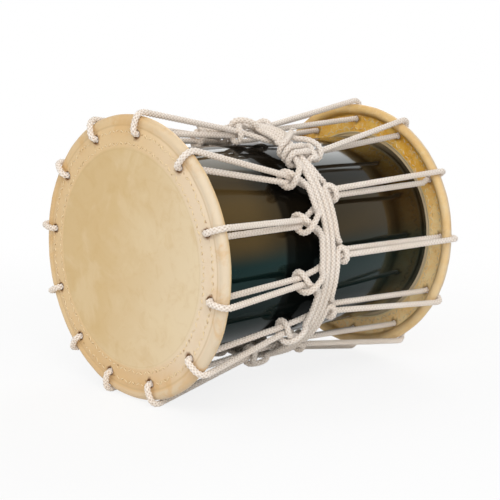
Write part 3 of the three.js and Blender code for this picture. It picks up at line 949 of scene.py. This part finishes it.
def head_loop(degrees, side, gather, leans):
    """Up through the hole, across the face and over the rim, back towards the pair's gather."""
    wrap = RIM_RADIUS + RIM_CLEARANCE + ROPE_RADIUS
    face = lean(HOLE_CIRCLE) + FACE_CLEARANCE
    back = face - 2 * ROPE_RADIUS
    profile = [Vector((HOLE_CIRCLE, back))]
    for bend in (180, 135, 90):
        angle = math.radians(bend)
        radius = HOLE_CIRCLE + HOLE_BEND * (1 + math.cos(angle))
        profile.append(Vector((radius, face + HOLE_BEND * math.sin(angle))))
    rim = Vector((RING_RADIUS, RING_PLANE))
    arrive = profile[-1] - rim
    leave = Vector((PAIR_RADIUS, gather * side)) - rim
    first = math.atan2(arrive.y, arrive.x) - math.acos(wrap / arrive.length)
    final = math.atan2(leave.y, leave.x) + math.acos(wrap / leave.length)
    for i in range(RIM_STATIONS):
        angle = first + (final - first) * i / (RIM_STATIONS - 1)
        profile.append(rim + wrap * Vector((math.cos(angle), math.sin(angle))))
    loop = [around(point.x, degrees, side * point.y) for point in profile]
    if leans:
        loop.insert(0, around(HOLE_CIRCLE - LEAN_INWARDS, degrees + leans, side * (back - LEAN_DEPTH)))
    return loop


def lay_rope(name, stations, node):
    """A plaited rope through the stations."""
    path, _ = eased(stations)
    plait(name, path, *carried_frames(path), 0, node)


def lacing():
    """The lacing, one stretch to each rope hole."""
    for i, degrees in enumerate(FRONT_HOLES):
        stations = half_leg(i, i, True)
        stations += head_loop(degrees, -1, front_gather(i), FRONT_LEANS.get(i, 0))
        stations += half_leg(i, i + 1, True)[::-1]
        lay_rope(f"lacing_loop_front_{i + 1:02d}", stations, f"lacing_front_{i + 1:02d}")
    for i, degrees in enumerate(REAR_HOLES):
        before = (i - 1) % len(REAR_HOLES)
        stations = half_leg(before, before + 1, False)
        stations += head_loop(degrees, 1, rear_gather(i), REAR_LEANS.get(i, 0))
        stations += half_leg(i, i, False)[::-1]
        lay_rope(f"lacing_loop_rear_{i + 1:02d}", stations, f"lacing_rear_{i + 1:02d}")


# Waist cord

# Hitches round a front pair, a rear pair and the rear pair beside the collar: steps along the turn in
# widths of a touching cord, shares of the hitch's reach along the axis, and widths outwards
FRONT_HITCH = [
    (-1.35, -0.04, 0.85), (-1.2, -0.17, 1.55), (-0.9, -0.34, 2.15), (-0.4, -0.56, 2.45),
    (0.35, -0.78, 2.42), (1.05, -0.92, 1.95), (1.5, -0.97, 1.1), (1.6, -0.98, 0.2),
    (1.24, -1, -0.57), (0.42, -1.02, -1.17), (-0.4, -1.04, -1.44), (-1.22, -1.05, -1.1),
    (-1.5, -1.05, -0.3), (-1.17, -1.03, 0.45), (-0.6, -0.98, 1.02), (0, -0.87, 1.32),
    (0.5, -0.7, 1.28), (0.95, -0.45, 1.05), (1.45, -0.14, 0.74),
]
REAR_HITCH = [
    (-2.5, 0.19, 0.6), (-1.95, 0.58, 0.35), (-1.65, 0.9, -0.2), (-1.33, 1.09, -1.02),
    (-0.45, 1.14, -1.44), (0.4, 1.14, -1.18), (1.15, 1.11, -0.57), (1.5, 1.08, 0.3),
    (1.2, 1.05, 1.12), (0.42, 1, 1.48), (-0.35, 0.95, 1.36), (-0.9, 0.69, 1.05),
    (-0.95, 0.25, 0.82), (-0.4, 0.02, 0.67),
]
COLLAR_HITCH = [
    (-4.2, 0.37, 0.72), (-2.9, 0.58, 1), (-1.95, 0.84, 1.4), (-0.95, 1.05, 1.56), (0, 1.13, 1.6),
    (0.9, 1.13, 1.42), (1.5, 1.1, 0.6), (1.45, 1.08, -0.2), (0.6, 1.05, -1.04), (-0.4, 1.01, -1.44),
    (-1.35, 0.95, -1.05), (-1.7, 0.88, -0.2), (-1.25, 0.8, 0.52), (-0.5, 0.74, 1.15),
    (0.3, 0.7, 1.37), (1, 0.66, 1.18), (1.7, 0.63, 1.12), (2.3, 0.52, 1.15),
]


def degrees_for(widths):
    """Degrees round the drum that so many touching cords take up beside a pair."""
    return math.degrees(widths * LAY / PAIR_RADIUS)


def drawn_in(travel, degrees):
    """How far the collar draws a turn of the band along the axis, and how far out the turn rides there."""
    away = (degrees - COLLAR_MIDDLE + 180) % 360 - 180
    share = math.exp(-(away / COLLAR_SPREAD) ** 2)
    turn = travel // 360
    return COLLAR_SQUEEZE * share * (HALF_BAND - turn) * BAND_PITCH, COLLAR_RIDE * share * (-1) ** turn


def band_point(travel):
    """A place on the band, after so many degrees of its turns."""
    degrees = BAND_START_ANGLE + travel
    shift, ride = drawn_in(travel, degrees)
    return around(BAND_RADIUS + ride, degrees, band_along(travel) + shift)


def band_run(start, end):
    """The band from one travel to another."""
    count = max(1, math.ceil((end - start) / BAND_STATION))
    return [band_point(start + (end - start) * i / count) for i in range(count + 1)]


def hitch_run(steps, travel, reach, rise=1):
    """A hitch drawn snug where the band has come to; the rise lowers what stands above its crossing."""
    run = []
    for turn, share, out in steps:
        out = min(out, HITCH_CROSSING) + rise * max(out - HITCH_CROSSING, 0)
        degrees = BAND_START_ANGLE + travel + degrees_for(turn * HITCH_SNUG)
        shift, _ = drawn_in(travel, degrees)
        along = band_along(travel) + shift + share * reach
        run.append(around(PAIR_RADIUS + out * LAY * HITCH_SNUG, degrees, along))
    return run


def collar_run():
    """Turns that bind the band and the cord's own end, then a short tail over the band."""
    middle = band_along(travel_to(COLLAR_ANGLE)) + HALF_BAND * BAND_PITCH
    half = HALF_BAND * BAND_PITCH * (1 - COLLAR_SQUEEZE)
    first, last = middle - half, middle + half
    front, rear = first - COLLAR_GRIP * LAY, last + COLLAR_GRIP * LAY
    outer, inner = BAND_RADIUS + LAY, UPPER_LAYER
    corner = 0.5 * LAY
    loop = [
        (rear, outer - corner), (rear, inner + corner), (rear - corner, inner), (front + corner, inner),
        (front, inner + corner), (front, outer - corner), (front + corner, outer), (rear - corner, outer),
    ]
    advance = degrees_for(COLLAR_ADVANCE) * PAIR_RADIUS / UPPER_LAYER
    path = []
    for turn in range(COLLAR_TURNS):
        for i, (along, radius) in enumerate(loop):
            path.append(around(radius, COLLAR_ANGLE - advance * (turn + i / len(loop)), along))
    # The last corner gives way to the tail
    path.pop()
    end = COLLAR_ANGLE - advance * COLLAR_TURNS
    path.append(around(outer, end - advance, last))
    path.append(around(outer + TAIL_RISE, end - 2 * advance, last + TAIL_LENGTH))
    return path


def waist_cord():
    """The whole cord's route, then the cord in four lengths: front, middle and rear turns, and collar."""
    stations, splits = [], []
    travel = BAND_START_TRIM
    before, after = FRONT_HITCH_ROOM
    for place, pair in sorted((travel_to(front_angle(i)), i) for i in range(len(FRONT_HOLES))):
        stations += band_run(travel, place - degrees_for(before))
        hitch = FRONT_HITCH
        if pair == REVERSED_HITCH:
            # The uppermost hitch is tied the other way round
            hitch = [(-turn, share, out) for turn, share, out in reversed(FRONT_HITCH)]
        stations += hitch_run(hitch, place, front_reach(pair), FRONT_HITCH_RISES[pair])
        travel = place + degrees_for(after)
    splits.append(len(stations))
    before, after = REAR_HITCH_ROOM
    plain_pairs = [degrees for i, degrees in enumerate(REAR_HOLES) if i != COLLAR_PAIR]
    for i, place in enumerate(sorted(LAST_TURN + travel_to(degrees) for degrees in plain_pairs)):
        run = band_run(travel, place - degrees_for(before))
        if i == 0:
            splits.append(len(stations) + len(run) - 1)
        stations += run + hitch_run(REAR_HITCH, place, REAR_HITCH_REACH)
        travel = place + degrees_for(after)
    collar_pair = LAST_TURN + travel_to(COLLAR_PAIR_ANGLE)
    stations += band_run(travel, 360 + collar_pair - degrees_for(COLLAR_HITCH_ROOM))
    splits.append(len(stations) - 1)
    stations += hitch_run(COLLAR_HITCH, collar_pair, COLLAR_PAIR_REACH) + collar_run()
    path, reached = eased(stations)
    across, upward = carried_frames(path)
    ends = [0] + [int(reached[split] / (PLAIT_STEP * MM)) for split in splits] + [len(path) - 1]
    parts = (("front_turn", 0), ("middle_turns", 0), ("rear_turn", 0), ("collar", FRAYED_STEPS))
    for (name, frayed), start, end in zip(parts, ends, ends[1:]):
        part = slice(start, end + 1)
        plait(f"waist_cord_{name}", path[part], across[part], upward[part], start, "waist_cord", frayed)


# Studio

def studio_floor():
    """A white floor, tipped by the small angle at which the drum lies on its three lowest loops."""
    drop_selection()
    bpy.ops.mesh.primitive_circle_add(
        vertices=96, radius=FLOOR_RADIUS, fill_type="NGON", location=(0, 0, 0),
    )
    floor = bpy.context.object
    rise = AXIS_HEIGHT * (1 - math.cos(math.radians(REAR_STEP / 2))) * MM
    floor.rotation_euler = (-math.atan2(rise, 2 * RING_PLANE * MM), 0, 0)
    floor.location = (0, 0, rise / 2)
    settle(floor)
    finish = Finish("studio_floor")
    tree = finish.tree
    coordinate = finish.add("ShaderNodeTexCoord").outputs["Object"]
    distance = finish.add("ShaderNodeVectorMath", {0: coordinate}, operation="LENGTH").outputs["Value"]
    away = finish.between(distance, FLOOR_SOLID, FLOOR_GONE)
    path = finish.add("ShaderNodeLightPath")
    seen = finish.math("MAXIMUM", path.outputs["Is Camera Ray"], path.outputs["Is Glossy Ray"])
    diffuse = finish.add("ShaderNodeBsdfDiffuse", {"Color": (FLOOR_WHITE, FLOOR_WHITE, FLOOR_WHITE, 1)})
    glow = finish.add("ShaderNodeEmission", {"Color": (1, 1, 1, 1), "Strength": 1.0})
    share = finish.times(seen, FLOOR_GLOW)
    white = finish.add("ShaderNodeMixShader", {0: share, 1: diffuse.outputs[0], 2: glow.outputs[0]})
    clear = finish.add("ShaderNodeBsdfTransparent")
    mix = finish.add("ShaderNodeMixShader", {0: away, 1: white.outputs[0], 2: clear.outputs[0]})
    tree.links.new(mix.outputs[0], tree.nodes["Material Output"].inputs["Surface"])
    floor.name = "studio_floor"
    floor.data.materials.append(finish.material)


def studio_world():
    """White to the eye and in reflections, with a softer light on the drum."""
    world = bpy.data.worlds.new("studio")
    bpy.context.scene.world = world
    world.use_nodes = True
    tree = world.node_tree
    background = tree.nodes["Background"]
    background.inputs["Color"].default_value = (1, 1, 1, 1)
    path = tree.nodes.new("ShaderNodeLightPath")
    seen = path.outputs["Is Camera Ray"]
    for ray in ("Is Glossy Ray", "Is Transmission Ray"):
        either = tree.nodes.new("ShaderNodeMath")
        either.operation = "MAXIMUM"
        tree.links.new(seen, either.inputs[0])
        tree.links.new(path.outputs[ray], either.inputs[1])
        seen = either.outputs[0]
    level = tree.nodes.new("ShaderNodeMapRange")
    level.inputs["To Min"].default_value = WORLD_LIGHT
    level.inputs["To Max"].default_value = 1.0
    tree.links.new(seen, level.inputs["Value"])
    tree.links.new(level.outputs[0], background.inputs["Strength"])


def soft_light(name, place, size, power):
    """A round lamp that shines on the drum's middle."""
    drop_selection()
    bpy.ops.object.light_add(type="AREA", location=place)
    lamp = bpy.context.object
    lamp.name = name
    lamp.data.shape = "DISK"
    lamp.data.size = size
    lamp.data.energy = power
    aim = Vector((0, 0, AXIS_HEIGHT * MM)) - Vector(place)
    lamp.rotation_euler = aim.to_track_quat("-Z", "Y").to_euler()


def studio_camera():
    """The camera, placed from the middle of the drum."""
    drop_selection()
    across, along, above = CAMERA_PLACE
    bpy.ops.object.camera_add(
        location=(across, along, AXIS_HEIGHT * MM + above),
        rotation=(math.radians(90 - CAMERA_TILT), 0, math.radians(CAMERA_TURN)),
    )
    camera = bpy.context.object
    camera.data.sensor_fit = "HORIZONTAL"
    camera.data.angle = math.radians(CAMERA_FIELD)
    camera.data.clip_end = 50
    bpy.context.scene.camera = camera


lacquered_body()
rawhide_head("front", -1, FRONT_HOLES)
rawhide_head("rear", 1, REAR_HOLES)
head_stitching("front_head_stitching", -1, FRONT_HOLES)
head_stitching("rear_head_stitching", 1, REAR_HOLES)
lacing()
waist_cord()
for ring in ("front_head_ring", "rear_head_ring"):
    frame["nodes"][ring].data.materials.clear()
    frame["nodes"][ring].data.materials.append(IRON)

studio_floor()
studio_world()
soft_light("key_light", (1.5, -1.5, 2.1), 1.8, 31)
soft_light("front_fill", (-1.2, -2.2, 1.0), 1.6, 12)
soft_light("side_fill", (1.9, -1.3, 0.75), 1.5, 17)
soft_light("back_light", (-0.9, 1.9, 1.8), 2.0, 27)
studio_camera()
bpy.context.scene.view_settings.view_transform = "Standard"
